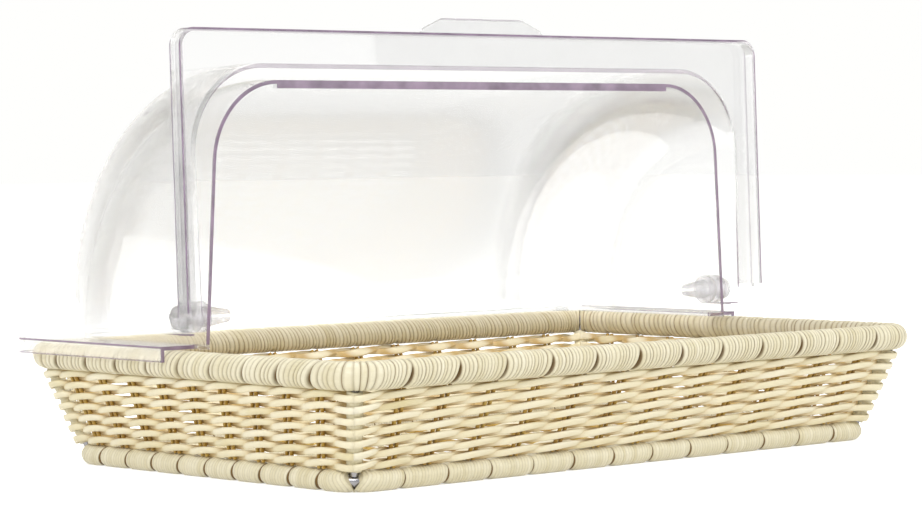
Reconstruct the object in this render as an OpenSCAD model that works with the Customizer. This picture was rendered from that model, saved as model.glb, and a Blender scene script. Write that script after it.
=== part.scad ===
// Countertop bread bin: a woven rattan tray on a steel wire frame, under a
// clear roll-top cover made of a fixed rear shell and a lid that turns over it.
// The origin is on the counter under the middle of the tray, X runs along the
// long side, Y to the back and Z up. The lid is drawn open, at rest.

/* [Tray] */
// Length over the wrapped rim
rim_l = 528; // [440:1:620]
// Width over the wrapped rim
rim_w = 336; // [300:1:400]
// Height of the rim's top above the counter
rim_h = 81; // [60:1:120]
// How far the base rail stands in from the rim at each short side
end_taper = 21; // [0:1:30]
// How far the base rail stands in from the rim at each long side
side_taper = 25; // [0:1:30]
// Diameter of the wrapped rim rail
rim_d = 18; // [14:0.5:22]
// Diameter of the wrapped base rail
base_d = 14; // [11:0.5:18]
// Radius of the rail corners, along the rod's middle line
bend_r = 16; // [14:1:24]
// Diameter of the steel rods inside the rails
rod_d = 9.5; // [5:0.5:10]
// Diameter of the steel corner posts
post_d = 6; // [4:0.5:7]
// Thickness of the strand wrapped round a corner post
post_wrap = 2; // [1:0.5:3]
// How deep the base rail is flattened where it stands on the counter
foot_flat = 0.5; // [0.2:0.1:1]

/* [Weave] */
// Cells between stakes along a long side
cells_long = 13; // [8:1:16]
// Cells between stakes along a short side
cells_short = 10; // [6:1:12]
// Rows of paired strands up each wall
weave_rows = 7; // [4:1:9]
// Share of the row pitch that a strand fills where it crosses a stake
strand_fill = 0.76; // [0.5:0.01:0.78]
// Thickness of a strand
strand_t = 2.4; // [1.5:0.1:3]
// Diameter of one stake cane
stake_d = 2.6; // [1.6:0.1:3.4]
// Distance between the two canes of a stake
stake_pair = 4.4; // [3.4:0.1:6]
// How far a long side's stakes lean along the wall from rim to base
stake_lean = 16; // [0:1:20]
// How far a short side's stakes lean along the wall from rim to base
end_lean = 4; // [0:1:8]
// Turns of strand round the rim rail in one cell
turns_cell = 12; // [6:1:14]
// Depth of the groove between two turns
turn_groove = 0.45; // [0.2:0.05:0.8]
// Depth of the gap in the wrap beside each stake
stake_gap = 2; // [1:0.1:3]
// Rows of flat strand in the floor
floor_rows = 18; // [8:1:24]
// Width of a flat floor strand
floor_strand_w = 7; // [4:0.5:10]
// Thickness of a flat floor strand
floor_strand_t = 1.6; // [1:0.1:2.4]

/* [Cover] */
// Thickness of the clear sheet
sheet = 2.4; // [2:0.1:3.5]
// Play between the cover's lips and the rim
lip_play = 0.4; // [0.3:0.1:1]
// Depth of the lips that hang outside the rim
lip_h = 9.8; // [6:0.2:14]
// Corner radius of the flanges
flange_corner = 12; // [6:1:18]
// Height of the pivot above the rim's top
pivot_rise = 20; // [20:0.5:26]
// How far the pivot is behind the middle of the tray
pivot_back = 10; // [0:1:20]
// How far the rear shell's edge is in front of the pivot
edge_front = 13; // [11:1:20]
// Room beside the rear shell at the pivot, inside the lid
side_gap = 8.6; // [8:0.2:16]
// Room over the rear shell, inside the lid
shell_gap = 7.6; // [6:0.2:16]
// How much tighter the rear shell's corners are than the lid's inner corners
corner_gap = 5.6; // [0:0.2:8]
// How much the rear shell's side leans in per millimetre of height
rear_lean = 0.06; // [0:0.01:0.08]
// Height of the stiffening band under the rear shell's edge
band_h = 2.4; // [1:0.2:4]
// Width of the flange beside the lid's side wall
side_ledge = 15.8; // [12:0.2:30]
// Width of the flange before the lid's front
front_ledge = 20.8; // [14:0.2:30]
// Corner radius of the lid's arch
lid_corner = 58; // [30:1:60]
// How much the closed lid's side leans in per millimetre of height
lid_lean = 0.05; // [0:0.005:0.06]
// How much the closed lid's side widens per millimetre to the front
lid_flare = 0.013; // [0:0.001:0.02]
// Angle that the lid turns through between closed and open
open_angle = 92; // [80:1:92]
// How far the lid's rear edge reaches below the pivot when it is open
lid_tail = 11; // [8:0.5:13]
// Room between the lid's hinge tabs and the pin's head
head_room = 0.4; // [0.3:0.1:1.5]
// How far a hinge tab's root reaches in under the lid's side
tab_root = 10; // [5:1:20]
// Distance of the step to a hinge tab in front of the pivot
tab_front = 3.1; // [3:0.1:6]
// Width of the handle on the lid's front edge
handle_w = 112; // [60:1:160]
// How far the handle stands out from the flange
handle_out = 10.5; // [6:0.5:16]

/* [Pivot] */
// Diameter of the pivot pin's shaft
pin_d = 10; // [6:0.5:11]
// Running clearance round the shaft in the lid
pin_clear = 0.08; // [0.04:0.01:0.1]
// Diameter of the pin's head
pin_head_d = 15.2; // [12:0.2:16]
// Thickness of the pin's head
pin_head_t = 4; // [2:0.5:5]
// Diameter of the spacer and the collar
collar_d = 20; // [15:0.5:24]
// Thickness of the collar inside the rear shell
collar_t = 3; // [2:0.5:5]
// Diameter of the pin's barb at its shoulder
barb_d = 13.4; // [11.5:0.1:14]
// Length of the barb
barb_l = 20; // [12:1:26]
// Width of the slot that splits the barb
barb_slot = 2.2; // [1:0.1:3]
// End play of the lid between the spacer and the head
end_play = 0.35; // [0.2:0.05:0.6]

/* [Hidden] */
$fn = 48;

cream = [0.91, 0.88, 0.76];
honey = [0.72, 0.58, 0.27];
steel = [0.75, 0.76, 0.78];
clear_sheet = [0.86, 0.88, 0.92, 0.35];
clear_grey = [0.72, 0.72, 0.74, 0.6];

base_l = rim_l - 2 * end_taper;
base_w = rim_w - 2 * side_taper;
rim_r = rim_d / 2;
base_r = base_d / 2;
rod_r = rod_d / 2;
post_r = post_d / 2;
rim_z = rim_h - rim_r;
base_z = base_r - foot_flat;
fit = 0.1;
seat = 0.2;
// Room between a leaning cane's end and the wound rail
stake_room = 0.5;
// Part of a quarter bend that each side's wrap covers, the post stands in the rest
rim_bend_cover = 28;
base_bend_cover = 31;
// Middle line of a strand where it passes a stake, from the wall's own plane
strand_off = stake_d / 2 + strand_t / 2 + seat;
// Height of a strand where the pair crosses, as a share of its full height
cross_k = 0.45;
cross_lift = 0.78;
strand_sides = 5;
far = 400;
// How far the two halves of a drum run past the middle plane
drum_lap = 20;
bend_mid = bend_r * (1 - cos(45));
// How far before the corner point an inner strand ends, beside the wrapped post
inner_end = bend_mid + post_r + post_wrap + 0.5;

pivot_z = rim_h + pivot_rise;
flange_x = rim_l / 2 + lip_play + sheet;
rear_reach = rim_w / 2 + lip_play + sheet - pivot_back;
lid_reach = rim_w / 2 + lip_play + sheet + pivot_back;
flange_bottom = -pivot_rise;
flange_top = flange_bottom + sheet;
tab_top = -pin_head_d / 2 - head_room;
lid_half = flange_x - side_ledge;
lid_r = lid_reach - front_ledge;
lid_inner = lid_half - sheet;
rear_half = lid_inner - side_gap;
rear_r = lid_r - sheet - shell_gap;
rear_corner = lid_corner - sheet - corner_gap;
pin_r = pin_d / 2;

// Half length of one side's rail between its corner points
function rail_half(long, top) =
    let (l = top ? rim_l : base_l, w = top ? rim_w : base_w, r = top ? rim_r : base_r)
    (long ? l : w) / 2 - r;
// Distance of one side's rail from the tray's middle
function rail_out(long, top) = rail_half(!long, top);
function is_long(side) = side % 2 == 0;
function side_cells(side) = is_long(side) ? cells_long : cells_short;
function mix(a, b, t) = a + (b - a) * t;

// Turns a child from the wall's own plane, u along it, v up it and w outward, to its side
module on_wall(side) {
    long = is_long(side);
    rise = rim_z - base_z;
    spread = rail_out(long, true) - rail_out(long, false);
    rotate([0, 0, 90 * side])
        translate([0, -rail_out(long, false), base_z])
            rotate([90 + atan2(spread, rise), 0, 0])
                children();
}

function wall_slope(side) =
    norm([rim_z - base_z, rail_out(is_long(side), true) - rail_out(is_long(side), false)]);

// A round cane between two points
module cane(a, b, d) {
    v = b - a;
    translate(a)
        rotate([0, acos(v.z / norm(v)), atan2(v.y, v.x)])
            cylinder(h = norm(v), d = d, $fn = 24);
}

// A steel rod bent to a closed rectangle with round corners
module rod_loop(half_x, half_y, z, r) {
    straight_x = half_x - bend_r;
    straight_y = half_y - bend_r;
    for (s = [-1, 1]) {
        translate([-straight_x, s * half_y, z]) rotate([0, 90, 0]) cylinder(h = 2 * straight_x, r = r);
        translate([s * half_x, straight_y, z]) rotate([90, 0, 0]) cylinder(h = 2 * straight_y, r = r);
    }
    for (q = [0:3])
        translate([(q == 0 || q == 3 ? 1 : -1) * straight_x, (q < 2 ? 1 : -1) * straight_y, z])
            rotate([0, 0, 90 * q])
                rotate_extrude(angle = 90) translate([bend_r, 0]) circle(r = r);
}

// Share of the full lean that stake number i / 2 has, less beside the corners
function lean_at(side, i) =
    (is_long(side) ? stake_lean : end_lean) * min(1, i / 4, (2 * side_cells(side) - i) / 4);
// Place of station i along a wall at height v, two stations to a cell
function station(side, i, v) =
    let (t = v / wall_slope(side),
         half = mix(rail_half(is_long(side), false), rail_half(is_long(side), true), t))
    mix(-half, half, i / (2 * side_cells(side))) - lean_at(side, i) * (1 - t);
function row_pitch(side) = (wall_slope(side) - base_r - rim_r) / weave_rows;

// Ridges of single turns round the rim rail, with a gap beside each stake
function wound_profile(half, cells) =
    let (cell = 2 * half / cells, gap = cell * 0.06, turn = cell / turns_cell)
    [for (c = [0:cells - 1])
        let (from = c == 0 ? 0 : c * cell - bend_r + gap / 2,
             to = c == cells - 1 ? 2 * (half - bend_r) : (c + 1) * cell - bend_r - gap / 2,
             turns = round((to - from) / turn))
        for (k = [0:2 * turns])
            [rim_r - ((k == 0 && c > 0) || (k == 2 * turns && c < cells - 1) ? stake_gap
                : k % 2 == 0 ? turn_groove : 0),
             mix(from, to, k / (2 * turns))]];

// Bands of tight turns round the base rail, one to a cell
function banded_profile(half, cells) =
    let (cell = 2 * half / cells, gap = cell * 0.04, shoulder = cell * 0.1)
    [for (c = [0:cells - 1])
        let (from = c == 0 ? 0 : c * cell - bend_r + gap / 2,
             to = c == cells - 1 ? 2 * (half - bend_r) : (c + 1) * cell - bend_r - gap / 2)
        for (k = [0:3])
            [base_r - (k % 3 == 0 ? stake_gap / 2 : 0),
             [from, from + shoulder, to - shoulder, to][k]]];

// The strand wound round one side's rail: a turned length, then part of each bend
module rail_wrap(side, top) {
    half = rail_half(is_long(side), top);
    straight = half - bend_r;
    r = top ? rim_r : base_r;
    cells = side_cells(side);
    profile = top ? wound_profile(half, cells) : banded_profile(half, cells);
    rotate([0, 0, 90 * side])
        translate([0, -rail_out(is_long(side), top), top ? rim_z : base_z]) {
            translate([-straight, 0, 0])
                rotate([0, 90, 0])
                    rotate_extrude()
                        polygon(concat([[rod_r + fit, 2 * straight], [rod_r + fit, 0]], profile));
            for (s = [0, 1])
                mirror([s, 0, 0])
                    translate([straight, bend_r, 0])
                        rotate([0, 0, -90])
                            rotate_extrude(angle = top ? rim_bend_cover : base_bend_cover)
                                translate([bend_r, 0])
                                    difference() {
                                        circle(r = r - turn_groove / 2);
                                        circle(r = rod_r + fit);
                                    }
        }
}

module rim_wrap(side) {
    color(cream) rail_wrap(side, true);
}

// The base wrap is pressed flat where it stands
module base_wrap(side) {
    color(cream)
        intersection() {
            rail_wrap(side, false);
            translate([-far, -far, 0]) cube([2 * far, 2 * far, base_d]);
        }
}

// The paired canes that stand in one wall
module stakes(side) {
    low_v = base_r + stake_room;
    top_v = wall_slope(side) - rim_r - stake_room;
    color(honey)
        on_wall(side)
            for (j = [1:side_cells(side) - 1], s = [-1, 1])
                cane([station(side, 2 * j, low_v) + s * stake_pair / 2, low_v, 0],
                     [station(side, 2 * j, top_v) + s * stake_pair / 2, top_v, 0], stake_d);
}

// One strand of a pair: it passes outside one stake and inside the next
module strand(side, v, phase) {
    stations = 2 * side_cells(side);
    half = station(side, stations, v);
    h = row_pitch(side) * strand_fill;
    points = [for (i = [0:stations], k = [0:strand_sides - 1])
        let (wave = 90 * i + phase,
             ends = i == 0 || i == stations,
             pass = cos(wave) * strand_off,
             reach = half + (pass < 0 ? -inner_end : pass - strand_t / 2),
             u = ends ? (i == 0 ? -reach : reach) : station(side, i, v),
             tall = i % 2 == 0 ? h : h * cross_k,
             a = 360 * k / strand_sides)
        [u, v + sin(wave) * h * cross_k * cross_lift + cos(a) * tall / 2, pass + sin(a) * strand_t / 2]];
    quads = [for (i = [0:stations - 1], k = [0:strand_sides - 1])
        let (a = i * strand_sides + k, b = i * strand_sides + (k + 1) % strand_sides)
        [a, b, b + strand_sides, a + strand_sides]];
    last = stations * strand_sides;
    polyhedron(points = points,
        faces = concat(
            [for (q = quads) [q[0], q[1], q[2]]],
            [for (q = quads) [q[0], q[2], q[3]]],
            [[for (k = [strand_sides - 1:-1:0]) k]],
            [[for (k = [0:strand_sides - 1]) last + k]]));
}

// All rows of one wall, each a pair of strands turned round one another
module weave(side) {
    color(cream)
        on_wall(side)
            for (row = [0:weave_rows - 1], phase = [0, 180])
                strand(side, base_r + (row + 0.5) * row_pitch(side), phase);
}

module rim_rod() {
    color(steel) rod_loop(rail_half(true, true), rail_half(false, true), rim_z, rod_r);
}

module base_rod() {
    color(steel) rod_loop(rail_half(true, false), rail_half(false, false), base_z, rod_r);
}

// Points on the corner posts' middle lines, t from the base rod to the rim rod
function post_point(sx, sy, t) =
    [sx * (mix(rail_half(true, false), rail_half(true, true), t) - bend_mid),
     sy * (mix(rail_half(false, false), rail_half(false, true), t) - bend_mid),
     mix(base_z, rim_z, t)];
function post_len() = norm(post_point(1, 1, 1) - post_point(1, 1, 0));

module corner_posts() {
    trim = (rod_r + fit / 2) / post_len();
    color(steel)
        for (sx = [-1, 1], sy = [-1, 1])
            cane(post_point(sx, sy, trim), post_point(sx, sy, 1 - trim), post_d);
}

// Sleeves of wound strand on the corner posts
module corner_wraps() {
    low = (base_r + 2 * stake_room) / post_len();
    high = 1 - (rim_r + 2 * stake_room) / post_len();
    color(cream)
        for (sx = [-1, 1], sy = [-1, 1])
            difference() {
                cane(post_point(sx, sy, low), post_point(sx, sy, high), post_d + 2 * post_wrap);
                cane(post_point(sx, sy, 0), post_point(sx, sy, 1), post_d + fit);
            }
}

// Paired canes across the floor, from rail to rail
module floor_stakes() {
    reach = rail_out(true, false) - base_r - fit;
    color(honey)
        for (j = [1:cells_long - 1], s = [-1, 1]) {
            x = floor_x(j) + s * stake_pair / 2;
            cane([x, -reach, base_z], [x, reach, base_z], stake_d);
        }
}

function floor_x(j) = mix(-1, 1, j / cells_long) * rail_half(true, false);

// Flat strands that pass over one pair of floor canes and under the next
module floor_weave() {
    reach_x = rail_half(true, false) - base_r - fit;
    reach_y = rail_out(true, false) - base_r - 2 * fit;
    inner_bend = bend_r - base_r;
    off = stake_d / 2 + floor_strand_t / 2 + seat;
    color(cream)
        for (row = [0:floor_rows - 1]) {
            y = mix(-reach_y, reach_y, (row + 0.5) / floor_rows);
            in_bend = max(0, abs(y) + floor_strand_w / 2 - rail_out(true, false) + bend_r);
            row_end = reach_x - inner_bend + sqrt(inner_bend * inner_bend - in_bend * in_bend);
            line = [for (j = [0:cells_long])
                let (ends = j == 0 || j == cells_long)
                [ends ? (j == 0 ? -row_end : row_end) : floor_x(j),
                 ends ? 0 : ((j + row) % 2 == 0 ? off : -off)]];
            translate([0, y + floor_strand_w / 2, base_z])
                rotate([90, 0, 0])
                    linear_extrude(floor_strand_w)
                        polygon(concat(
                            [for (p = line) p + [0, floor_strand_t / 2]],
                            [for (k = [cells_long:-1:0]) line[k] - [0, floor_strand_t / 2]]));
        }
}

// Half a drum in section: its radius about the pivot, then its place along the axis
module drum_section(half, r, corner) {
    translate([0, -drum_lap]) square([r - corner, half + drum_lap]);
    translate([0, -drum_lap]) square([r, half - corner + drum_lap]);
    translate([r - corner, half - corner]) circle(r = corner);
}

// A drum about the pivot axis in two mirrored halves, its sides lean in and flare out
module drum(half, r, corner, lean, flare) {
    for (s = [0, 1])
        mirror([s, 0, 0])
            multmatrix([[1, -flare, -lean, 0], [0, 1, 0, 0], [0, 0, 1, 0]])
                rotate([0, 90, 0])
                    rotate_extrude($fn = 120) drum_section(half, r, corner);
}

module rear_drum(inset) {
    drum(rear_half - inset, rear_r - inset, rear_corner - inset, rear_lean, 0);
}

module lid_drum(inset) {
    drum(lid_half - inset, lid_r - inset, lid_corner - inset, lid_lean, lid_flare);
}

// Flange outline from a start line to its reach, with the far corners round
module flange_outline(start, reach, inset) {
    half = flange_x - inset;
    corner = flange_corner - inset;
    translate([-half, start]) square([2 * half, reach - inset - corner - start]);
    translate([corner - half, start]) square([2 * (half - corner), reach - inset - start]);
    for (s = [-1, 1])
        translate([s * (half - corner), reach - inset - corner]) circle(r = corner);
}

// A flat flange with a lip turned down round three sides
module flange(start, reach) {
    translate([0, 0, flange_top - lip_h])
        difference() {
            linear_extrude(lip_h) flange_outline(start, reach, 0);
            translate([0, 0, -1]) linear_extrude(lip_h - sheet + 1) flange_outline(start - 1, reach, sheet);
        }
}

module pivot_hole(r) {
    rotate([0, 90, 0]) cylinder(h = 2 * far, r = r, center = true);
}

// The fixed rear shell: a quarter drum with side walls, its flange and lips
module rear_cover() {
    band_half = rear_half - rear_lean * rear_r - rear_corner;
    color(clear_sheet)
        translate([0, pivot_back, pivot_z])
            difference() {
                union() {
                    difference() {
                        union() {
                            intersection() {
                                rear_drum(0);
                                translate([-far, -edge_front, flange_bottom]) cube([2 * far, far, far]);
                            }
                            flange(0, rear_reach);
                        }
                        rear_drum(sheet);
                    }
                    translate([-band_half, -edge_front, rear_r - sheet - band_h - 1])
                        cube([2 * band_half, 2 * sheet, band_h + 1.6]);
                }
                pivot_hole(pin_r + fit / 5);
            }
}

// Hinge tab and the step up to it, one on each side of the lid
module hinge_tabs() {
    corner = flange_corner - sheet;
    for (s = [0, 1])
        mirror([s, 0, 0]) {
            translate([lid_inner - tab_root, -tab_front, flange_bottom])
                cube([flange_x - lid_inner + tab_root, sheet, tab_top - flange_bottom]);
            translate([0, 0, tab_top - sheet])
                linear_extrude(sheet) {
                    translate([lid_inner - tab_root, -tab_front])
                        square([flange_x - lid_inner + tab_root, lid_tail + tab_front - corner]);
                    translate([lid_inner - tab_root, -tab_front])
                        square([flange_x - lid_inner + tab_root - corner, lid_tail + tab_front]);
                    translate([flange_x - corner, lid_tail - corner]) circle(r = corner);
                }
        }
}

// A shallow tongue to lift the lid by
module handle() {
    round_r = 4;
    translate([0, -lid_reach, flange_bottom])
        linear_extrude(sheet)
            hull()
                for (s = [-1, 1]) {
                    translate([s * (handle_w / 2 - round_r), 0]) circle(r = round_r);
                    translate([s * handle_w * 0.32, round_r - handle_out]) circle(r = round_r);
                }
}

// The lid as it lies when closed, about the pivot axis
module closed_lid() {
    difference() {
        union() {
            intersection() {
                lid_drum(0);
                union() {
                    translate([-far, -far, flange_bottom]) cube([2 * far, far - tab_front + sheet, far]);
                    translate([-far, -far, tab_top - sheet]) cube([2 * far, 2 * far, far]);
                }
            }
            mirror([0, 1, 0]) flange(tab_front, lid_reach);
            hinge_tabs();
            handle();
        }
        lid_drum(sheet);
        rotate([open_angle, 0, 0]) translate([-far, -far, -far - lid_tail]) cube([2 * far, 2 * far, far]);
        pivot_hole(pin_r + pin_clear);
    }
}

module lid() {
    color(clear_sheet)
        translate([0, pivot_back, pivot_z])
            rotate([-open_angle, 0, 0])
                closed_lid();
}

// Places a child that is turned about Z, outward end up, on one side's pivot
module at_pivot(s) {
    translate([0, pivot_back, pivot_z]) rotate([0, 90 * s, 0]) children();
}

collar_out = rear_half - sheet - rear_lean * collar_d / 2 - fit;
barb_out = collar_out - collar_t - fit;
lid_tilt = lid_lean + lid_flare;
spacer_in = rear_half + rear_lean * collar_d / 2 + fit;
spacer_out = lid_inner - lid_tilt * collar_d / 2 - end_play;
head_in = lid_half + lid_tilt * pin_head_d / 2 + end_play;

// A snap pin: slotted head outside the lid, shaft, and a split barb inside
module pivot_pin(s) {
    rim_t = pin_head_t * 0.55;
    slot_t = 1.4;
    color(clear_grey)
        at_pivot(s)
            difference() {
                rotate_extrude()
                    polygon([[0, barb_out - barb_l], [barb_d * 0.3, barb_out - barb_l],
                             [barb_d / 2, barb_out - barb_l * 0.15], [barb_d / 2, barb_out],
                             [pin_r, barb_out], [pin_r, head_in], [pin_head_d / 2, head_in],
                             [pin_head_d / 2, head_in + rim_t],
                             [pin_head_d * 0.32, head_in + pin_head_t], [0, head_in + pin_head_t]]);
                translate([-barb_slot / 2, -barb_d, barb_out - barb_l - 1])
                    cube([barb_slot, 2 * barb_d, barb_l]);
                translate([-slot_t / 2, -pin_head_d / 4, head_in + pin_head_t - slot_t / 2])
                    cube([slot_t, pin_head_d / 2, slot_t]);
            }
}

module ring(from, to, outer_r) {
    translate([0, 0, from])
        difference() {
            cylinder(h = to - from, r = outer_r);
            translate([0, 0, -1]) cylinder(h = to - from + 2, r = pin_r + fit / 5);
        }
}

// Spacer between the rear shell and the lid
module pivot_spacer(s) {
    color(clear_grey) at_pivot(s) ring(spacer_in, spacer_out, collar_d / 2);
}

// Collar between the rear shell's inner face and the barb
module pivot_collar(s) {
    color(clear_grey) at_pivot(s) ring(collar_out - collar_t, collar_out, collar_d / 2);
}

module stakes_front() { stakes(0); }
module stakes_right() { stakes(1); }
module stakes_back() { stakes(2); }
module stakes_left() { stakes(3); }
module weave_front() { weave(0); }
module weave_right() { weave(1); }
module weave_back() { weave(2); }
module weave_left() { weave(3); }
module rim_wrap_front() { rim_wrap(0); }
module rim_wrap_right() { rim_wrap(1); }
module rim_wrap_back() { rim_wrap(2); }
module rim_wrap_left() { rim_wrap(3); }
module base_wrap_front() { base_wrap(0); }
module base_wrap_right() { base_wrap(1); }
module base_wrap_back() { base_wrap(2); }
module base_wrap_left() { base_wrap(3); }
module pivot_pin_left() { pivot_pin(-1); }
module pivot_pin_right() { pivot_pin(1); }
module pivot_spacer_left() { pivot_spacer(-1); }
module pivot_spacer_right() { pivot_spacer(1); }
module pivot_collar_left() { pivot_collar(-1); }
module pivot_collar_right() { pivot_collar(1); }

rim_rod();
base_rod();
corner_posts();
corner_wraps();
floor_stakes();
floor_weave();
stakes_front();
stakes_right();
stakes_back();
stakes_left();
weave_front();
weave_right();
weave_back();
weave_left();
rim_wrap_front();
rim_wrap_right();
rim_wrap_back();
rim_wrap_left();
base_wrap_front();
base_wrap_right();
base_wrap_back();
base_wrap_left();
rear_cover();
lid();
pivot_pin_left();
pivot_pin_right();
pivot_spacer_left();
pivot_spacer_right();
pivot_collar_left();
pivot_collar_right();
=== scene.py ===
import math

import bpy
import numpy as np
from mathutils import Matrix, Vector


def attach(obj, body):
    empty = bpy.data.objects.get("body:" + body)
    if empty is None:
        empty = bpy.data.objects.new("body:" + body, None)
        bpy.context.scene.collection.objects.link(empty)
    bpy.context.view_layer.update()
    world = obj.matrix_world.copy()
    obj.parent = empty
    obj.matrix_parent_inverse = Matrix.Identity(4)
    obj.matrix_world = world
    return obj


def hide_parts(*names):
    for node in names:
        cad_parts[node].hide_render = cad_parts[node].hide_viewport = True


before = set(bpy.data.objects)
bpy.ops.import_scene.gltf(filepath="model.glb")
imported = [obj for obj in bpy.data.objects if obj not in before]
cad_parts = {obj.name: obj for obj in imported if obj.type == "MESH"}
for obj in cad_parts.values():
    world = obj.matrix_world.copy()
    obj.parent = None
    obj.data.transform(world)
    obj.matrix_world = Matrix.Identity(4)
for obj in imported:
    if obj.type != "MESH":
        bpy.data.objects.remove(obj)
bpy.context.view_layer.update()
rng = np.random.default_rng(11)

# The tray's sizes, in millimetres, as the part's source has them
RIM_L, RIM_W, RIM_H = 528.0, 336.0, 81.0
BASE_L, BASE_W = 486.0, 286.0
RIM_R, BASE_R, BEND_R = 9.0, 7.0, 16.0
ROD_R, POST_R, POST_WRAP = 4.75, 3.0, 2.0
CELLS = (13, 10, 13, 10)
ROWS = 7
STRAND_T, STAKE_D = 2.4, 2.6
STAKE_LEAN, END_LEAN = 16.0, 4.0
FLOOR_ROWS, FLOOR_W, FLOOR_T = 18, 7.0, 1.6
RIM_Z = RIM_H - RIM_R
BASE_Z = BASE_R - 0.5
RISE = RIM_Z - BASE_Z
RIM_HALF = (RIM_L / 2 - RIM_R, RIM_W / 2 - RIM_R)
BASE_HALF = (BASE_L / 2 - BASE_R, BASE_W / 2 - BASE_R)
PIVOT = Vector((0, 0.010, 0.101))
OPEN = math.radians(92)
SIDES = ("front", "right", "back", "left")
WOVEN_PLAY = 0.15

# The clear cover's sizes, in metres
SHEET = 0.0024
LIP_H = 0.0098
RIM_TOP = RIM_H * 0.001
PLATE_TOP = RIM_TOP + SHEET
PIVOT_RISE = PIVOT.z - RIM_TOP
EDGE_FRONT = 0.013
FLANGE_X = 0.2668
LID_REACH = 0.1808
LID_INNER = (0.2486, 0.1576)
LID_CORNER = 0.0556
LID_TAIL = 0.011
HANDLE_OUT = 0.0105
CRISP = 0.0004

# Camera solved on the photograph: degrees, metres, and pixels of a picture 922 wide
VIEW_AZIMUTH, VIEW_ELEVATION, VIEW_ROLL = -43.141, 1.945, -0.491
VIEW_TARGET = Vector((-0.01885, 0, 0.13476))
VIEW_DISTANCE = 2.1485
FOCAL_PIXELS, PICTURE_W = 3182.5, 922.0
SENSOR = 36.0


# Shader tools
def rgb(code):
    """A screen colour such as "E9E3C8" as linear values with full alpha."""
    parts = [int(code[k:k + 2], 16) / 255 for k in (0, 2, 4)]
    linear = [c / 12.92 if c <= 0.04045 else ((c + 0.055) / 1.055) ** 2.4 for c in parts]
    return (*linear, 1.0)


class Level:
    """A shader value that takes part in sums."""

    def __init__(self, tree, socket):
        self.tree, self.socket = tree, socket

    def math(self, kind, *others, flip=False, clamp=False):
        node = self.tree.nodes.new("ShaderNodeMath")
        node.operation, node.use_clamp = kind, clamp
        terms = (self,) + others
        for place, term in enumerate(reversed(terms) if flip else terms):
            join(self.tree, term, node.inputs[place])
        return Level(self.tree, node.outputs[0])

    def __add__(self, other):
        return self.math("ADD", other)

    def __sub__(self, other):
        return self.math("SUBTRACT", other)

    def __rsub__(self, other):
        return self.math("SUBTRACT", other, flip=True)

    def __mul__(self, other):
        return self.math("MULTIPLY", other)

    def __truediv__(self, other):
        return self.math("DIVIDE", other)

    def __abs__(self):
        return self.math("ABSOLUTE")

    __radd__, __rmul__ = __add__, __mul__

    def near(self, place, width):
        """1 at that place, falling to 0 at width from it."""
        return (1 - abs(self - place) / width).math("MAXIMUM", 0.0)

    def above(self, place, blur):
        """0 below the place, 1 above it."""
        return ((self - place) / blur + 0.5).math("MAXIMUM", 0.0, clamp=True)


def join(tree, source, target):
    if isinstance(source, Level):
        source = source.socket
    if isinstance(source, bpy.types.NodeSocket):
        tree.links.new(source, target)
    else:
        target.default_value = source


class Finish:
    """A material under construction."""

    def __init__(self, name):
        self.material = bpy.data.materials.new(name)
        self.material.use_nodes = True
        self.tree = self.material.node_tree
        self.tree.nodes.clear()
        self.out = self.tree.nodes.new("ShaderNodeOutputMaterial")
        where = self.tree.nodes.new("ShaderNodeTexCoord")
        self.place = where.outputs["Object"]
        self.x, self.y, self.z = self.node("ShaderNodeSeparateXYZ", {}, {"Vector": self.place}, (0, 1, 2))

    def node(self, kind, settings, inputs, outputs=(0,)):
        """Any other node: its settings, its sockets' values or links, then its outputs."""
        node = self.tree.nodes.new(kind)
        stops = settings.pop("stops", None)
        for key, value in settings.items():
            setattr(node, key, value)
        if stops:
            ramp = node.color_ramp
            while len(ramp.elements) < len(stops):
                ramp.elements.new(1.0)
            for element, (position, colour) in zip(ramp.elements, stops):
                element.position, element.color = position, colour
        for key, value in inputs.items():
            join(self.tree, value, node.inputs[key])
        got = tuple(Level(self.tree, node.outputs[k]) for k in outputs)
        return got if len(got) > 1 else got[0]

    def noise(self, scale, detail=3.0, stretch=(1, 1, 1), where=None, rough=0.55):
        spot = self.node("ShaderNodeMapping", {}, {"Vector": where or self.place, "Scale": stretch})
        return self.node("ShaderNodeTexNoise", {}, {"Vector": spot, "Scale": scale, "Detail": detail,
                                                     "Roughness": rough})

    def attribute(self, name):
        return self.node("ShaderNodeAttribute", {"attribute_name": name}, {}, (2,))

    def mix(self, factor, first, second, kind="MIX"):
        node = self.tree.nodes.new("ShaderNodeMix")
        node.data_type, node.blend_type, node.clamp_factor = "RGBA", kind, True
        for place, value in ((0, factor), (6, first), (7, second)):
            join(self.tree, value, node.inputs[place])
        return Level(self.tree, node.outputs[2])

    def ramp(self, value, stops):
        return self.node("ShaderNodeValToRGB", {"stops": stops}, {"Fac": value})

    def bump(self, height, strength, distance):
        return self.node("ShaderNodeBump", {}, {"Height": height, "Strength": strength,
                                                "Distance": distance})

    def surface(self, **inputs):
        names = {key.replace("_", " "): value for key, value in inputs.items()}
        return self.node("ShaderNodeBsdfPrincipled", {}, names)

    def done(self, shader):
        self.tree.links.new(shader.socket, self.out.inputs["Surface"])
        return self.material


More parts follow.
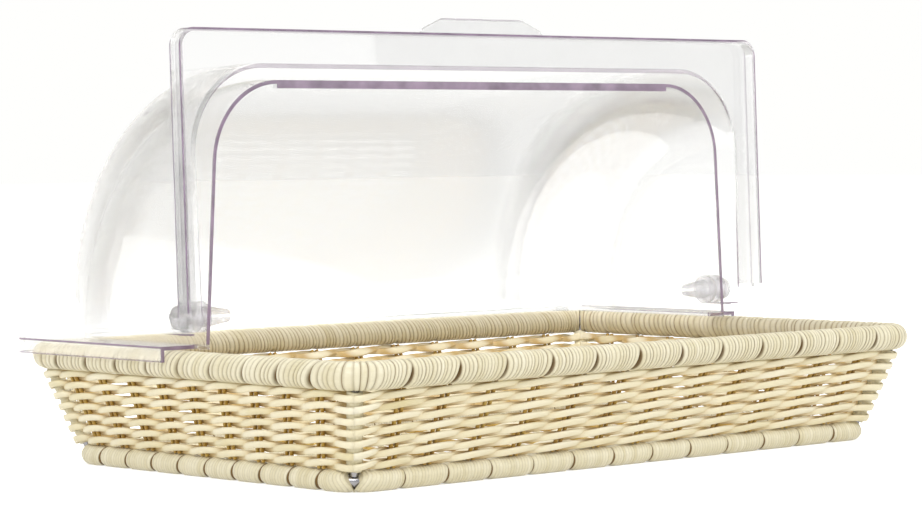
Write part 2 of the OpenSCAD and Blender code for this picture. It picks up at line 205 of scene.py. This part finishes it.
# Finishes
def poly_rattan(name, light, middle, shade_colour, gloss):
    """Ivory strand with fine ribs along it, mixed towards a painted shade colour where it runs into the
    weave and into a winding's grooves and gaps.
    """
    f = Finish(name)
    run, across = f.node("ShaderNodeSeparateXYZ", {},
                         {"Vector": f.node("ShaderNodeUVMap", {"uv_map": "strand"}, {})}, (0, 1))
    ribs_round = 26.0
    flat = f.node("ShaderNodeCombineXYZ", {},
                  {"X": run, "Y": across * ribs_round, "Z": f.attribute("tone") * 7})
    ribs = f.noise(1.0, 2.0, where=flat)
    cloud = f.noise(38.0, 4.0)
    tone = f.attribute("tone") * 0.55 + ribs * 0.3 + cloud * 0.35 - 0.1
    skin = f.ramp(tone, [(0.1, middle), (0.5, light), (0.9, rgb("F6F0DA"))])
    # Painted shade: this attribute mixes the skin towards the darker shade colour.
    inside = f.attribute("hollow")
    colour = f.mix(inside, skin, shade_colour)
    height = ribs * 0.6 + f.noise(900.0, 2.0) * 0.4
    return f.done(f.surface(Base_Color=colour, Roughness=gloss + ribs * 0.12 + inside * 0.3,
                            Normal=f.bump(height, 0.35, 0.0004), Coat_Weight=0.18,
                            Coat_Roughness=0.25, Specular_IOR_Level=0.45))


def honey_cane():
    """Golden cane with streaks along it."""
    f = Finish("honey_cane")
    streak = f.noise(160.0, 3.0, (1, 1, 0.2))
    patch = f.noise(24.0, 2.0)
    colour = f.ramp(streak * 0.6 + patch * 0.4,
                    [(0.3, rgb("8F6A20")), (0.5, rgb("B8923A")), (0.72, rgb("D2B660"))])
    return f.done(f.surface(Base_Color=colour, Roughness=0.36 + streak * 0.15,
                            Normal=f.bump(streak, 0.3, 0.0003),
                            Coat_Weight=0.2, Coat_Roughness=0.3))


def polished_steel():
    """Drawn rod with faint lines along it."""
    f = Finish("polished_steel")
    draw = f.noise(420.0, 2.0, (1, 1, 0.1))
    stain = f.noise(60.0, 3.0)
    colour = f.ramp(stain, [(0.3, rgb("77757A")), (0.7, rgb("A5A4A8"))])
    return f.done(f.surface(Base_Color=colour, Metallic=1.0, Roughness=0.12 + draw * 0.12,
                            Normal=f.bump(draw, 0.1, 0.0001)))


def see_through(f, shader, thin):
    """Lets light fall through, so that a clear piece throws only a faint shadow."""
    lit = f.node("ShaderNodeLightPath", {}, {}, (1,))
    clear = f.node("ShaderNodeBsdfTransparent", {}, {"Color": (1, 1, 1, 1)})
    share = (lit + thin).math("MINIMUM", 1.0)
    return f.node("ShaderNodeMixShader", {}, {0: share, 1: shader, 2: clear})


def clear_sheet(name, edge):
    """Clear moulded sheet: near white on its faces, and an opaque mauve on its cut edges that is partly
    the sheet's own tint and partly painted shade for the dark lines that refraction draws there.

    The mix of glass and plain see-through keeps the flat sides pale, and the bowed
    corners and the flange show more of the glass.
    """
    f = Finish(name)
    cut, plate = edge(f)
    smear = f.noise(9.0, 3.0)
    faces = f.ramp(smear, [(0.3, rgb("FDFDFE")), (0.7, rgb("FFFFFF"))])
    shader = f.surface(Base_Color=faces, Roughness=0.012 + smear * 0.016,
                       Transmission_Weight=1.0, IOR=1.5, Specular_IOR_Level=0.35,
                       Normal=f.bump(f.noise(5.0, 1.0), 0.05, 0.0006))
    # Painted shade along the cut edges over the sheet's own mauve tint: an opaque colour in place of the
    # dark lines that refraction gives.
    tint = f.ramp(f.noise(60.0, 2.0), [(0.3, rgb("644B68")), (0.7, rgb("927896"))])
    edge_tint_and_shade = f.surface(Base_Color=tint, Roughness=0.28 + smear * 0.1, Coat_Weight=0.3)
    back, up = f.y - PIVOT.y, f.z - PIVOT.z
    from_hinge = (back * back + up * up).math("SQRT")
    bowed = from_hinge.above(0.105, 0.03) * abs(f.x).above(0.185, 0.03)
    clear = see_through(f, shader, 0.9 - bowed * (1 - plate) * 0.55 - plate * 0.4)
    return f.done(f.node("ShaderNodeMixShader", {}, {0: cut * 0.88, 1: clear, 2: edge_tint_and_shade}))


def rear_edges(f):
    """The rear shell's cut edges, where the painted edge shade goes, and its flange."""
    flange = 1 - f.z.above(PLATE_TOP + CRISP, CRISP)
    arch = f.y.near(PIVOT.y - EDGE_FRONT, 0.0009) * f.z.above(PLATE_TOP + 0.0006, 0.001)
    ends = f.y.near(PIVOT.y, 0.0012) * flange
    lips = f.z.near(PLATE_TOP - LIP_H, 0.0012)
    outer_line = abs(f.x).above(FLANGE_X - 0.0022, 0.0005) * f.z.above(PLATE_TOP - 0.0011, 0.0005)
    return (arch + ends + lips * 0.5 + outer_line * flange).math("MINIMUM", 1.0), flange


def lid_edges(f):
    """The lid's cut edges, where the painted edge shade goes, and its flange, measured in the closed
    lid's own directions.
    """
    back, up = f.y - PIVOT.y, f.z - PIVOT.z
    c, s = math.cos(OPEN), math.sin(OPEN)
    high = back * s + up * c
    behind = back * c - up * s
    ahead = 0 - behind
    plate_bottom = -PIVOT_RISE
    plate_top = plate_bottom + SHEET
    outer = (abs(f.x).above(FLANGE_X - 0.0009, CRISP) + ahead.above(LID_REACH - 0.0009, CRISP)
             ).math("MINIMUM", 1.0)
    handle_line = ahead.near(LID_REACH + HANDLE_OUT, 0.0014) * 0.7
    outer = outer * (1 - ahead.above(LID_REACH + CRISP, CRISP)) + handle_line
    lips = high.near(plate_top - LIP_H, 0.0010) * (0.35 + outer * 0.65)
    tail = behind.above(LID_TAIL - 0.0006, CRISP)
    heel = high.near(plate_top, 0.0009) * outer
    side = (abs(f.x) - (LID_INNER[0] - LID_CORNER)).math("MAXIMUM", 0.0)
    front = (ahead - (LID_INNER[1] - LID_CORNER)).math("MAXIMUM", 0.0)
    inside = 1 - (side * side + front * front).math("SQRT").above(LID_CORNER + 0.0017, CRISP)
    mouth = high.near(plate_bottom + CRISP, 0.0009) * inside * ahead.above(0.0, 0.004)
    flange = 1 - high.above(plate_top + 0.0008, 0.001)
    return (lips + tail + heel + mouth).math("MINIMUM", 1.0), flange


def pivot_plastic():
    """Clear moulded plastic with a faint grey cloud."""
    f = Finish("pivot_plastic")
    cloud = f.noise(240.0, 3.0)
    colour = f.ramp(cloud, [(0.3, rgb("DCDADF")), (0.7, rgb("F4F3F6"))])
    shader = f.surface(Base_Color=colour, Roughness=0.16 + cloud * 0.12,
                       Transmission_Weight=0.85, IOR=1.49, Normal=f.bump(cloud, 0.15, 0.0003))
    return f.done(see_through(f, shader, 0.45))


# The darkest colour of each rattan finish is the colour of its painted shade.
STRAND = poly_rattan("ivory_strand", rgb("F0E6C6"), rgb("DDCFA0"), rgb("C0963E"), 0.34)
WOUND = poly_rattan("ivory_winding", rgb("E6DEC1"), rgb("D2C69C"), rgb("6E5222"), 0.3)
CANE = honey_cane()
STEEL = polished_steel()
REAR_SHEET = clear_sheet("rear_clear_sheet", rear_edges)
LID_SHEET = clear_sheet("lid_clear_sheet", lid_edges)
PIVOT_GREY = pivot_plastic()


# Mesh tools
def tube_faces(rings, around, first):
    """A tube's side faces, ring by ring, and its two ends."""
    k = np.arange(rings - 1)[:, None] * around
    a = np.arange(around)[None, :]
    b = (a + 1) % around
    quads = np.stack([k + a, k + b, k + around + b, k + around + a], -1).reshape(-1, 4) + first
    last = first + (rings - 1) * around
    caps = [list(range(first + around - 1, first - 1, -1)), list(range(last, last + around))]
    return quads.tolist() + caps


class Piece:
    """Tubes gathered in one mesh, with a tone and a painted shade for each point."""

    def __init__(self):
        self.points, self.faces, self.tone, self.hollow, self.uv = [], [], [], [], []
        self.count = 0

    def tube(self, grid, tone, hollow=None, run=None):
        """Adds one tube from its rings of points."""
        rings, around, _ = grid.shape
        self.points.append(grid.reshape(-1, 3))
        self.faces += tube_faces(rings, around, self.count)
        self.count += rings * around
        full = np.ones((rings, around))
        self.tone.append((np.asarray(tone).reshape(rings, -1) * full).ravel())
        self.hollow.append((full * 0 if hollow is None else hollow * full).ravel())
        run = np.arange(rings) / 8.0 if run is None else run
        self.uv.append(np.stack([(run[:, None] * full).ravel(),
                                 (np.arange(around)[None, :] / around * full).ravel()], -1))

    def make(self, name, body, material, slot, *nodes):
        """Makes the object, which rides on a body and stands for CAD nodes."""
        mesh = bpy.data.meshes.new(name)
        mesh.from_pydata((np.concatenate(self.points) * 0.001).tolist(), [], self.faces)
        for key, values in (("tone", self.tone), ("hollow", self.hollow)):
            layer = mesh.attributes.new(key, "FLOAT", "POINT")
            layer.data.foreach_set("value", np.concatenate(values).astype(np.float32))
        uv = np.concatenate(self.uv)
        corner = np.empty(len(mesh.loops), int)
        mesh.loops.foreach_get("vertex_index", corner)
        strand_map = mesh.uv_layers.new(name="strand")
        strand_map.data.foreach_set("uv", uv[corner].astype(np.float32).ravel())
        mesh.shade_smooth()
        mesh.materials.append(material)
        obj = bpy.data.objects.new(name, mesh)
        bpy.context.scene.collection.objects.link(obj)
        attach(obj, body)
        if nodes:
            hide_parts(*nodes)
        return obj


def smooth(x):
    """An easy step from 0 to 1."""
    x = np.clip(x, 0, 1)
    return x * x * (3 - 2 * x)


def half_sizes(side, share):
    """Half length and outward distance of a side's rail line, from base 0 to rim 1."""
    x, y = (b + (t - b) * share for b, t in zip(BASE_HALF, RIM_HALF))
    return (x, y) if side % 2 == 0 else (y, x)


def side_length(side, share):
    """From a side's middle to the middle of its rounded corner."""
    return half_sizes(side, share)[0] - BEND_R + BEND_R * math.pi / 4


def side_line(side, share, p):
    """Points and outward directions along a side's rounded line, p from its middle."""
    half, out = half_sizes(side, share)
    straight = half - BEND_R
    bend = np.clip((abs(p) - straight) / BEND_R, 0, None)
    sign = np.sign(p)
    along = np.where(bend > 0, sign * (straight + BEND_R * np.sin(bend)), p)
    away = out - BEND_R * (1 - np.cos(bend))
    turn = math.radians(90 * side)
    c, s = round(math.cos(turn)), round(math.sin(turn))
    na, nb = sign * np.sin(bend), np.cos(bend)
    place = np.stack([along * c + away * s, along * s - away * c], -1)
    normal = np.stack([na * c + nb * s, na * s - nb * c], -1)
    spread = [t - b for b, t in zip(BASE_HALF, RIM_HALF)]
    own, outward = (spread[0], spread[1]) if side % 2 == 0 else (spread[1], spread[0])
    slope = np.arctan2(abs(na) * own + nb * outward, RISE)
    return place, normal, slope


def wall_slope(side):
    """A wall's height along its lean."""
    out = half_sizes(side, 1)[1] - half_sizes(side, 0)[1]
    return math.hypot(RISE, out)


def station(side, i, share):
    """Place of station i along a wall, two stations to a cell."""
    half = half_sizes(side, share)[0]
    cells = CELLS[side]
    lean = STAKE_LEAN if side % 2 == 0 else END_LEAN
    ease = np.minimum(1, np.minimum(i / 4, (2 * cells - i) / 4))
    return -half + 2 * half * i / (2 * cells) - lean * ease * (1 - share)


def oval(around, tall, thick, power=2.6):
    """Points of a rounded flat section: height along the wall, then outward."""
    a = 2 * math.pi * np.arange(around) / around
    c, s = np.cos(a), np.sin(a)
    up = np.sign(c) * abs(c) ** (2 / power)
    out = np.sign(s) * abs(s) ** (2 / power)
    return up[None, :] * tall[:, None] / 2, out[None, :] * thick / 2


# The weave
def weave(side):
    """A wall's rows, each a pair of strands that cross between the stakes."""
    piece = Piece()
    cells = CELLS[side]
    long_side = side % 2 == 0
    pitch = (wall_slope(side) - BASE_R - RIM_R) / ROWS
    tall = pitch * 0.62
    swing = pitch * (0.13 if long_side else 0.15)
    outer_rise = pitch * 0.19
    steps = 14
    knot_at = np.arange(cells + 1)
    t = np.linspace(0, cells, cells * steps + 1)
    stake_off = STAKE_D / 2 + STRAND_T / 2 + WOVEN_PLAY
    post_off = POST_R + POST_WRAP + STRAND_T / 2 + 0.2
    corner = smooth(1 - np.minimum(t, cells - t) / 0.55)
    reach = stake_off + (post_off - stake_off) * corner
    for row in range(ROWS):
        share = (BASE_R + (row + 0.5) * pitch) / wall_slope(side)
        length = side_length(side, share)
        inner_knots = [station(side, 2.0 * j, share) for j in range(1, cells)]
        p = np.interp(t, knot_at, [-length, *inner_knots, length])
        place, normal, slope = side_line(side, share, p)
        cs, sn = np.cos(slope)[:, None], np.sin(slope)[:, None]
        for phase in (0, 180):
            wave = np.radians(180 * t + phase)
            outward = np.cos(wave)
            out = np.sign(outward) * abs(outward) ** 0.8 * reach
            wander = np.interp(t, knot_at, rng.normal(0, 0.16, cells + 1))
            rise = np.sin(wave) * swing + outward * outer_rise + wander
            fuller = 0.86 + 0.14 * abs(outward) ** 0.7 + 0.3 * np.clip(-outward, 0, 1)
            height = tall * fuller * (1 + rng.normal(0, 0.03))
            up, off = oval(12, height, STRAND_T)
            tip = np.radians(12) * np.sin(wave)[:, None]
            a = up * np.cos(tip) - off * np.sin(tip) + rise[:, None]
            b = up * np.sin(tip) + off * np.cos(tip) + out[:, None]
            flat = b * cs + a * sn
            z = BASE_Z + RISE * share + a * cs - b * sn
            flat_place = place[:, None, :] + normal[:, None, :] * flat[..., None]
            grid = np.concatenate([flat_place, z[..., None]], -1)
            tone = 0.5 + 0.22 * np.interp(t, knot_at, rng.normal(0, 1, cells + 1)) + rng.normal(0, 0.08)
            # Painted shade: strands darken towards the shade colour where they face into the middle of
            # the wall, and only a little on the wall's inner face.
            shade = smooth(0.5 - b / 5.0) * (0.74 - 0.7 * smooth((-b - 2.4) / 1.4))
            piece.tube(grid, tone, shade, run=t * 4 + row * 3.7 + phase)
    piece.make(f"strands_{SIDES[side]}", "basket", STRAND, "rattan_strand", f"weave_{SIDES[side]}")


# The wound rails
# How each rail is wound, in millimetres: the gap beside a stake and the turns' width on the
# long and the short sides, the slant before and after a stake, the grooves between turns and
# the painted shade in them (dark), and how far and over what length a cell's turns fall away at its ends
RIM_LOOK = {"gap": (1.9, 1.7), "closed": 0.02, "turn": (3.3, 4.8), "slant": (5.8, 4.4), "uneven": 0.2,
            "groove": 1.2, "dark": 1.0, "fall": 0.35, "fall_over": 3.0}
BASE_LOOK = {"gap": (0.9, 0.9), "closed": 0.4, "turn": (2.6, 2.6), "slant": (2.03, 1.54), "uneven": 0.1,
             "groove": 0.35, "dark": 0.3, "fall": 0.9, "fall_over": 4.0}
SUNK_EDGE = 0.8
UNDER_TURNS = 0.9


def cell_spans(side, look, marks, open_here, down):
    """Where each cell's turns start and stop, for every point round the rail."""
    cells = CELLS[side]
    spans = []
    for j in range(cells):
        ends = []
        for k, sign in ((j, 1), (j + 1, -1)):
            at_corner = k in (0, cells)
            gap = 0.0 if at_corner else look["gap"][side % 2] * (1 + rng.uniform(-0.45, 0.45))
            slant = 0.0 if at_corner else look["slant"][0 if sign > 0 else 1]
            ends.append(marks[k] + sign * gap * (open_here + look["closed"]) - slant * (down - 0.5))
        spans.append(ends)
    return spans


def cell_turns(look, r, start, stop, run, width, first, last):
    """One cell's turns, as rings of place, radius, shade and tone."""
    rings = []
    widths = np.clip(rng.normal(1, look["uneven"], max(3, round(run / width))), 0.55, 1.6)
    bounds = np.concatenate([[0], np.cumsum(widths)]) / widths.sum()
    for n in range(len(widths)):
        groove = look["groove"] * rng.uniform(0.5, 1.25)
        dark = look["dark"] * rng.uniform(0.5, 1.0)
        tone = 0.5 + rng.normal(0, 0.13)
        # Painted shade: each turn darkens at its groove, by the dark value.
        for f, shade in ((0.0, dark), (0.1, dark * 0.35), (0.3, 0.0), (0.7, 0.0), (0.9, dark * 0.35)):
            s = bounds[n] + (bounds[n + 1] - bounds[n]) * f
            shoulder = min(s, 1 - s) * run
            drop = look["fall"] * (1 - float(smooth(shoulder / look["fall_over"])))
            if (first and s < 0.5 or last and s > 0.5) and shoulder < 0.5:
                drop = -groove * 0.6
            bulge = 1 - math.sin(math.pi * f) ** 0.5
            rings.append((start + (stop - start) * s, r - drop - groove * bulge, shade, tone))
    # Painted shade at the sunken end of each cell's turns.
    rings.append((stop, r - (0.3 if last else SUNK_EDGE), 0.2, 0.4))
    return rings


def winding(side, top):
    """Turns of strand round a rail, opening beside each stake to show what is under them, with painted
    shade in the grooves, in the gaps and on the rail's inward side.
    """
    piece = Piece()
    cells = CELLS[side]
    kind, look, r, level, share = (("rim", RIM_LOOK, RIM_R, RIM_Z, 1.0) if top else
                                   ("base", BASE_LOOK, BASE_R, BASE_Z, 0.0))
    half = half_sizes(side, share)[0]
    around = 32
    theta = 2 * math.pi * np.arange(around) / around
    up_outside = np.clip(np.cos(theta - math.radians(35)), 0, 1) ** 2
    low_outside = np.clip(np.cos(theta + math.radians(50)), 0, 1) ** 0.8
    inward = np.clip(-np.cos(theta), 0, 1)
    down = (1 - np.sin(theta)) / 2
    bend_covered = 45.5 - 5 * inward if top else 45 - 15 * up_outside
    reach = half - BEND_R + BEND_R * np.radians(bend_covered)
    marks = [-reach, *(-half + 2 * half * j / cells for j in range(1, cells)), reach]
    split = smooth(low_outside * 2.2) if top else np.ones(around)
    sunk = r - SUNK_EDGE - (r - SUNK_EDGE - ROD_R - UNDER_TURNS) * split
    spans = cell_spans(side, look, marks, low_outside, down)
    rings = []
    for j, (start, stop) in enumerate(spans):
        if j:
            # Painted shade in the gap beside each stake, darkest where the turns part on the lower
            # outside.
            between = (spans[j - 1][1] + 0.05, start - 0.05)
            rings += [(edge, sunk, 0.5 + 0.5 * split, 0.4) for edge in between]
        run = np.max(marks[j + 1] - marks[j])
        rings += cell_turns(look, r, start, stop, run, look["turn"][side % 2], j == 0, j == cells - 1)
    along, radius, hollow = (np.stack([np.ones(around) * ring[k] for ring in rings]) for k in range(3))
    along = np.clip(along, -reach, reach)
    radius = np.minimum(radius, r - 0.05)
    # Painted shade on the rail's inward-facing side.
    hollow = np.clip(hollow + 0.3 * smooth(inward * 1.6) * (1 - hollow), 0, 1)
    place, normal, _ = side_line(side, share, along.ravel())
    place, normal = (values.reshape(len(rings), around, 2) for values in (place, normal))
    out = radius * np.cos(theta)
    z = level + radius * np.sin(theta)
    if not top:
        z = np.maximum(z, 0.0)
    grid = np.concatenate([place + normal * out[..., None], z[..., None]], -1)
    tones = np.array([ring[3] for ring in rings])
    piece.tube(grid, tones, hollow, run=np.arange(len(rings)) / 5.0)
    name = SIDES[side]
    piece.make(f"{kind}_winding_{name}", "basket", WOUND, "rattan_wrap", f"{kind}_wrap_{name}")


def post_sleeves():
    """Strand wound round each corner post."""
    piece = Piece()
    turns, steps, around = 17, 5, 24
    mid = BEND_R * (1 - math.cos(math.radians(45)))
    a = 2 * math.pi * np.arange(around) / around
    turn = np.linspace(0, turns, turns * steps + 1)
    for sx in (-1, 1):
        for sy in (-1, 1):
            low = np.array([sx * (BASE_HALF[0] - mid), sy * (BASE_HALF[1] - mid), BASE_Z])
            high = np.array([sx * (RIM_HALF[0] - mid), sy * (RIM_HALF[1] - mid), RIM_Z])
            total = np.linalg.norm(high - low)
            axis = (high - low) / total
            side = np.cross(axis, [0, 1, 0])
            side /= np.linalg.norm(side)
            other = np.cross(axis, side)
            s = np.linspace(BASE_R + 1, total - RIM_R - 1, len(turn))
            r = POST_R + POST_WRAP - 0.5 * (1 - abs(np.sin(math.pi * turn)) ** 0.5)
            centre = low + s[:, None] * axis
            ring = np.cos(a)[:, None] * side + np.sin(a)[:, None] * other
            slide = (0.9 * np.cos(a))[None, :, None] * axis
            grid = centre[:, None, :] + r[:, None, None] * ring[None] + slide
            piece.tube(grid, 0.5 + 0.12 * np.sin(turn * 2.4))
    piece.make("post_sleeves", "basket", WOUND, "rattan_wrap", "corner_wraps")


def tray_floor():
    """Flat strands that pass over and under the floor's canes."""
    piece = Piece()
    cells = CELLS[0]
    reach_x = BASE_HALF[0] - BASE_R - 0.1
    reach_y = BASE_HALF[1] - BASE_R - 0.2
    off = STAKE_D / 2 + FLOOR_T / 2 + WOVEN_PLAY
    inner = BEND_R - BASE_R
    outer_cane = BASE_HALF[0] - 2 * BASE_HALF[0] / cells
    t = np.linspace(0, cells, cells * 8 + 1)
    edge = smooth(np.minimum(t, cells - t) / 0.8)
    for row in range(FLOOR_ROWS):
        y = -reach_y + 2 * reach_y * (row + 0.5) / FLOOR_ROWS
        in_bend = max(0, abs(y) + FLOOR_W / 2 - BASE_HALF[1] + BEND_R)
        end = reach_x - inner + math.sqrt(inner ** 2 - in_bend ** 2)
        x = np.interp(t, [0, 1, cells - 1, cells], [-end, -outer_cane, outer_cane, end])
        wave = np.cos(math.pi * (t + row))
        lift = np.sign(wave) * abs(wave) ** 0.7 * off * edge
        wide, thick = oval(10, np.full(len(t), FLOOR_W), FLOOR_T, 3.2)
        grid = np.stack([x[:, None] + 0 * wide, y + wide, BASE_Z + lift[:, None] + thick], -1)
        tone = 0.42 + 0.2 * np.interp(t, np.arange(cells + 1), rng.normal(0, 1, cells + 1))
        piece.tube(grid, tone, run=t * 4 + row * 2.3)
    piece.make("floor_strands", "basket", STRAND, "rattan_strand", "floor_weave")


for side in range(4):
    weave(side)
    winding(side, True)
    winding(side, False)
post_sleeves()
tray_floor()


# Finishes of the fixed nodes
def dress(name, material):
    """Gives a CAD node its finish."""
    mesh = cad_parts[name].data
    mesh.materials.clear()
    mesh.materials.append(material)


for name in ("rim_rod", "base_rod", "corner_posts"):
    dress(name, STEEL)
for name in ("floor_stakes", *(f"stakes_{side_name}" for side_name in SIDES)):
    dress(name, CANE)
dress("rear_cover", REAR_SHEET)
dress("lid", LID_SHEET)
for side_name in ("left", "right"):
    for kind in ("pin", "spacer", "collar"):
        dress(f"pivot_{kind}_{side_name}", PIVOT_GREY)


# Floor, light and camera
def white_floor():
    """A pale counter that shows white to the camera and keeps a soft shadow."""
    mesh = bpy.data.meshes.new("counter")
    half = 14.0
    corners = [(x, y, 0) for x, y in ((-half, -half), (half, -half), (half, half), (-half, half))]
    mesh.from_pydata(corners, [], [(0, 1, 2, 3)])
    f = Finish("counter_white")
    seen, glossy, through = f.node("ShaderNodeLightPath", {}, {}, (0, 3, 6))
    direct = (seen + glossy + through).math("MINIMUM", 1.0)
    pale = f.ramp(f.noise(3.0), [(0.0, rgb("EFEEEA")), (1.0, rgb("F2F1EE"))])
    lit = f.node("ShaderNodeBsdfDiffuse", {}, {"Color": pale})
    veil = f.node("ShaderNodeEmission", {}, {"Color": (1, 1, 0.985, 1), "Strength": direct * 0.62})
    both = f.node("ShaderNodeAddShader", {}, {0: lit, 1: veil})
    mesh.materials.append(f.done(both))
    obj = bpy.data.objects.new("counter", mesh)
    bpy.context.scene.collection.objects.link(obj)
    just_below = -0.0002
    obj.location.z = just_below


def world_light():
    """Even white light, dimmer from above, with one grey band for the clear sheet to mirror."""
    world = bpy.data.worlds.new("studio")
    bpy.context.scene.world = world
    world.use_nodes = True
    tree = world.node_tree
    tree.nodes.clear()
    out = tree.nodes.new("ShaderNodeOutputWorld")
    path = tree.nodes.new("ShaderNodeLightPath")
    seen, through, mirrored = (Level(tree, path.outputs[f"Is {kind} Ray"])
                               for kind in ("Camera", "Transmission", "Glossy"))
    where = tree.nodes.new("ShaderNodeTexCoord")
    split = tree.nodes.new("ShaderNodeSeparateXYZ")
    tree.links.new(where.outputs["Generated"], split.inputs[0])
    x, y, height = (Level(tree, split.outputs[k]) for k in range(3))
    dim = 1 - height.above(0.62, 0.5) * 0.5
    band = (x * 0.68 + y * 0.73).above(0.3, 0.5) * height.near(0.45, 0.42) * 0.8
    direct = (seen + through).math("MINIMUM", 1.0)
    soft = dim * (0.74 + direct * 0.26)
    strength = seen + (1 - seen) * (soft * (1 - mirrored) + mirrored * (1 - band))
    background = tree.nodes.new("ShaderNodeBackground")
    background.inputs["Color"].default_value = (1, 1, 0.985, 1)
    tree.links.new(strength.socket, background.inputs["Strength"])
    tree.links.new(background.outputs[0], out.inputs[0])


def lamp(name, place, target, size, power):
    """A soft rectangular lamp: metres and watts."""
    data = bpy.data.lights.new(name, "AREA")
    data.shape = "RECTANGLE"
    data.size, data.size_y = size
    data.energy = power
    obj = bpy.data.objects.new(name, data)
    obj.location = place
    obj.rotation_euler = (Vector(target) - Vector(place)).to_track_quat("-Z", "Y").to_euler()
    bpy.context.scene.collection.objects.link(obj)


def camera():
    """The photograph's view."""
    azimuth, elevation, roll = (math.radians(a) for a in (VIEW_AZIMUTH, VIEW_ELEVATION, VIEW_ROLL))
    level = Vector((math.sin(azimuth), -math.cos(azimuth), 0))
    back = level * math.cos(elevation) + Vector((0, 0, math.sin(elevation)))
    right = Vector((math.cos(azimuth), math.sin(azimuth), 0))
    up = back.cross(right)
    axes = (math.cos(roll) * right + math.sin(roll) * up,
            math.cos(roll) * up - math.sin(roll) * right,
            back)
    data = bpy.data.cameras.new("camera")
    data.sensor_width = SENSOR
    data.lens = FOCAL_PIXELS * SENSOR / PICTURE_W
    data.clip_end = 100.0
    obj = bpy.data.objects.new("camera", data)
    turned = Matrix(axes).transposed().to_4x4()
    obj.matrix_world = Matrix.Translation(VIEW_TARGET + back * VIEW_DISTANCE) @ turned
    bpy.context.scene.collection.objects.link(obj)
    bpy.context.scene.camera = obj


white_floor()
world_light()
lamp("key", (-2.3, -1.3, 1.7), (0, 0, 0.1), (1.6, 1.2), 35)
lamp("fill", (1.5, -2.0, 1.3), (0, 0, 0.1), (1.4, 1.4), 17)
lamp("top", (0, 0.3, 2.4), (0, 0, 0), (1.8, 1.0), 20)
camera()
bpy.context.scene.view_settings.view_transform = "Standard"
